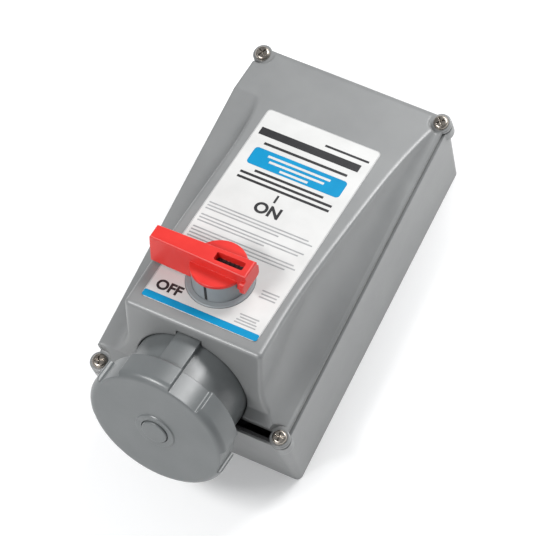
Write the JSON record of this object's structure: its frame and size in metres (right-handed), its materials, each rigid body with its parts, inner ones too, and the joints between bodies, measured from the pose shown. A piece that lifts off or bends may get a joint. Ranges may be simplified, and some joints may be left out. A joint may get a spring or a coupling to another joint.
{
  "type": "interlocked switched receptacle",
  "caption": "Wall-mounted electrical enclosure with a sloping cover, a red rotary switch handle, a tilted round receptacle under a twist-on cap, and an interlocked switch inside.",
  "frame": {"origin": "centre of the four-hole wall pattern's face datum: the middle of the flat rear face, which lies on the wall or on the floor when the box lies on its back", "axes": "+Z out of the wall through the cover, +Y along the box away from the receptacle end, +X to the right seen from the front"},
  "size_m": [0.192, 0.3857, 0.1889],
  "materials": {
    "grey_body": "semi-gloss moulded polyester, light grey",
    "grey_cap": "semi-gloss moulded polyester, grey",
    "grey_boss": "satin moulded plastic, grey",
    "red_handle": "glossy moulded plastic, red",
    "black_mark": "black inlay",
    "label_white": "white printed plate with blue bands",
    "screw_steel": "stainless steel",
    "plate_steel": "zinc-plated sheet steel",
    "brass_contact": "machined brass",
    "copper_contact": "copper",
    "seal_rubber": "black rubber",
    "switch_body": "black moulded thermoset",
    "carrier_black": "black moulded insulator",
    "wire_black": "black wire insulation",
    "wire_green": "green wire insulation",
    "conduit_grey": "grey moulded plug"
  },
  "bodies": {
    "enclosure": {"base_box": "grey_body", "cover": "grey_body", "cover_gasket": "seal_rubber", "cover_screws": "screw_steel", "screw_inserts": "brass_contact", "label_plate": "label_white", "handle_bezel": "grey_boss", "handle_boss": "grey_boss", "index_mark": "black_mark", "boss_nut": "plate_steel", "shaft_seal": "seal_rubber", "lock_guide": "switch_body", "guide_screws": "screw_steel", "switch_housing": "switch_body", "switch_lid": "switch_body", "line_terminals": "brass_contact", "load_terminals": "brass_contact", "terminal_screws": "screw_steel", "switch_screws": "screw_steel", "switch_bracket": "plate_steel", "bracket_screws": "screw_steel", "back_plate": "plate_steel", "plate_screws": "screw_steel", "receptacle_housing": "grey_cap", "receptacle_gasket": "seal_rubber", "receptacle_screws": "screw_steel", "contact_carrier": "carrier_black", "carrier_screws": "screw_steel", "power_contacts": "brass_contact", "ground_contact": "brass_contact", "contact_nuts": "brass_contact", "phase_wires": "wire_black", "ground_wire": "wire_green", "ground_lug": "copper_contact", "ground_screw": "screw_steel", "conduit_plug": "conduit_grey", "conduit_seal": "seal_rubber", "conduit_locknut": "plate_steel"},
    "handle": {"handle": "red_handle", "handle_shaft": "screw_steel", "shaft_clip": "screw_steel", "interlock_cam": "plate_steel", "switch_rotor": "switch_body", "rotor_contacts": "copper_contact"},
    "lock": {"lock_bolt": "plate_steel"},
    "cap": {"closure_cap": "grey_cap", "cap_seal": "seal_rubber", "cap_button": "grey_cap"}
  },
  "joints": [
    {"name": "handle_turn", "type": "hinge", "parent": "enclosure", "child": "handle", "pos_m": [0, -0.06624, 0.15502], "axis": [0, 0.284, 0.9588], "range_deg": [-90, 0]},
    {"name": "lock_slide", "type": "slide", "parent": "enclosure", "child": "lock", "axis": [0, -0.9397, 0.342], "range_m": [0, 0.0101]},
    {"name": "cap_turn", "type": "hinge", "parent": "enclosure", "child": "cap", "pos_m": [0, -0.14203, 0.10585], "axis": [0, -0.9397, 0.342], "range_deg": [0, 35]}
  ],
  "couplings": [
    {"joint": "lock_slide", "follows": "handle_turn", "m_per_rad": -0.0063662}
  ]
}
